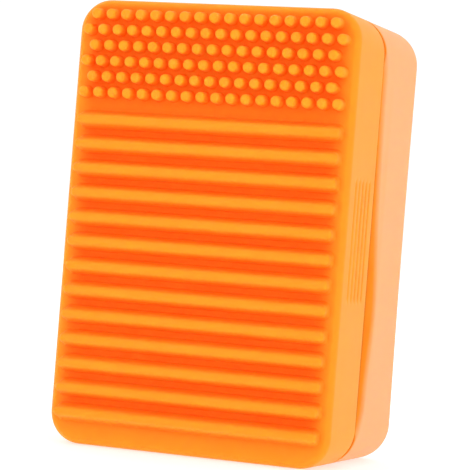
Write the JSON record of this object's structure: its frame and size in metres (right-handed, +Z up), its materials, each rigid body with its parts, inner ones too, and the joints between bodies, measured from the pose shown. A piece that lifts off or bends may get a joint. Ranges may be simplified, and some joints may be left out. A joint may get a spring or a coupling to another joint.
{
  "type": "curry comb",
  "caption": "Block curry comb for grooming horses: a soft rubber pad with nubs and bars on its face, glued at a seam to a rubber palm grip with finger scoops.",
  "frame": {"origin": "centre of the bounding box on the surface that the block stands on, at its lower short end", "axes": "+Z up along the block's height, -Y the way the working face looks, +Y the way the back looks, +X across the working face"},
  "size_m": [0.088, 0.064, 0.13],
  "materials": {
    "pad_silicone": "satin",
    "grip_silicone": "satin",
    "plate_plastic": "matte",
    "foam": "matte"
  },
  "bodies": {
    "root": {"front_pad": "pad_silicone", "back_shell": "grip_silicone", "core_plate": "plate_plastic", "front_foam": "foam", "back_foam": "foam"}
  },
  "joints": []
}
